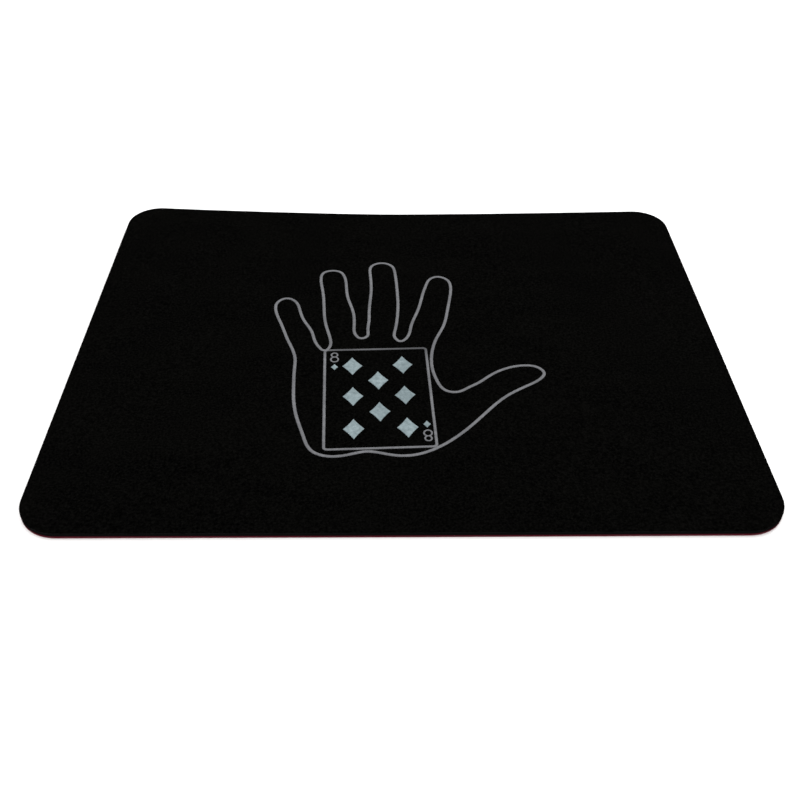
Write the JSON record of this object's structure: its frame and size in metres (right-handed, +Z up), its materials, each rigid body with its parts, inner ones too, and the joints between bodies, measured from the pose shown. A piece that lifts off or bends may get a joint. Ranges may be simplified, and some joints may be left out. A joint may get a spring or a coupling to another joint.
{
  "type": "close-up magic mat",
  "caption": "Thin rectangular padded mat with round corners for card and coin magic, with an open hand and a playing card printed on its black cloth.",
  "frame": {"origin": "centre of the underside, on the surface that the mat lies on", "axes": "+X along the long side to the performer's right, +Y away from the performer towards the printed fingertips, +Z up out of the cloth"},
  "size_m": [0.42, 0.335, 0.0047],
  "materials": {
    "nap_cloth": "short black nap, matt with a soft sheen",
    "core_foam": "black closed-cell foam, matt",
    "base_rubber": "dark red non-slip rubber, matt",
    "bond_film": "cured glue film",
    "line_ink": "thin grey screen ink, matt",
    "pip_ink": "thin pale blue-grey screen ink, matt"
  },
  "bodies": {
    "root": {"base_sheet": "base_rubber", "base_bond_film": "bond_film", "foam_core": "core_foam", "cloth_bond_film": "bond_film", "top_cloth": "nap_cloth", "hand_outline_print": "line_ink", "card_border_print": "line_ink", "card_pip_1": "pip_ink", "card_pip_2": "pip_ink", "card_pip_3": "pip_ink", "card_pip_4": "pip_ink", "card_pip_5": "pip_ink", "card_pip_6": "pip_ink", "card_pip_7": "pip_ink", "card_pip_8": "pip_ink", "upper_index_eight": "line_ink", "upper_index_pip": "pip_ink", "lower_index_eight": "line_ink", "lower_index_pip": "pip_ink"}
  },
  "joints": []
}
